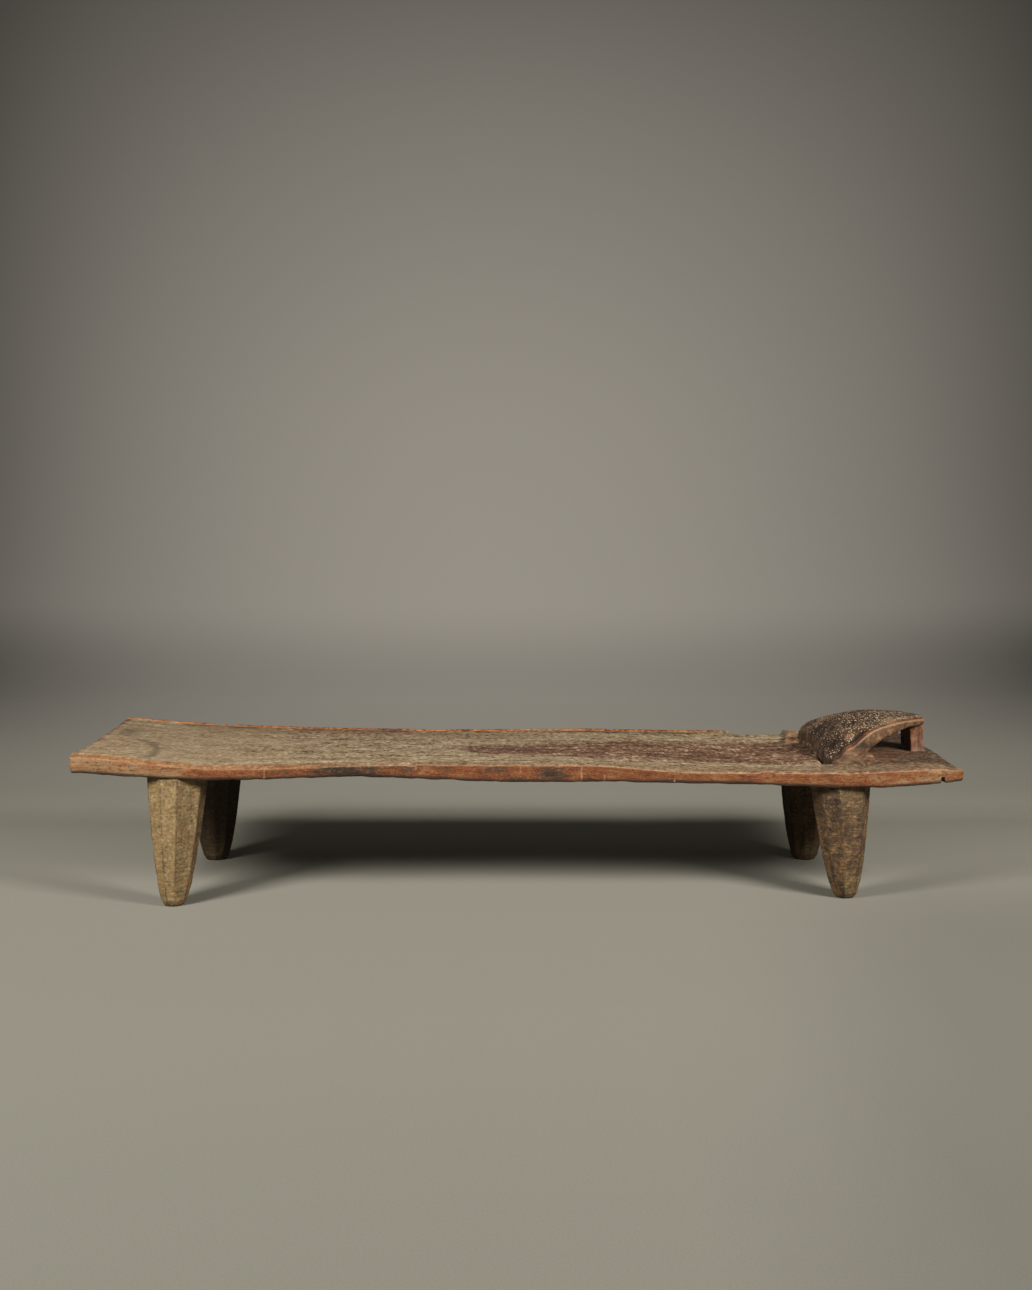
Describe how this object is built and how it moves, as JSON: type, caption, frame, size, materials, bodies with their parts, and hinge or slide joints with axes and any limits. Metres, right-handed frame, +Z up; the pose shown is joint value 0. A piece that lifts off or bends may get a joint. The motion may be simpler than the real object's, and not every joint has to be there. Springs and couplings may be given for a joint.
{
  "type": "carved bed with headrest",
  "caption": "Low sleeping bed carved whole from one trunk: long dished board on four tapered faceted legs, with a raised domed headrest on a short post at one end.",
  "frame": {"origin": "on the floor under the middle of the bed, at the bottom centre of its box", "axes": "+X along the bed towards the headrest end, +Y to the rear long side, +Z up"},
  "size_m": [2.134, 0.68, 0.4285],
  "materials": {
    "board_wood": "weathered grey-brown top, reddish sides",
    "headrest_wood": "dark, worn, speckled",
    "post_wood": "matt, reddish",
    "leg_wood": "adze-cut, matt tan"
  },
  "bodies": {
    "root": {"platform": "board_wood", "headrest": "headrest_wood", "headrest_post": "post_wood", "leg_front_left": "leg_wood", "leg_front_right": "leg_wood", "leg_rear_left": "leg_wood", "leg_rear_right": "leg_wood"}
  },
  "joints": []
}
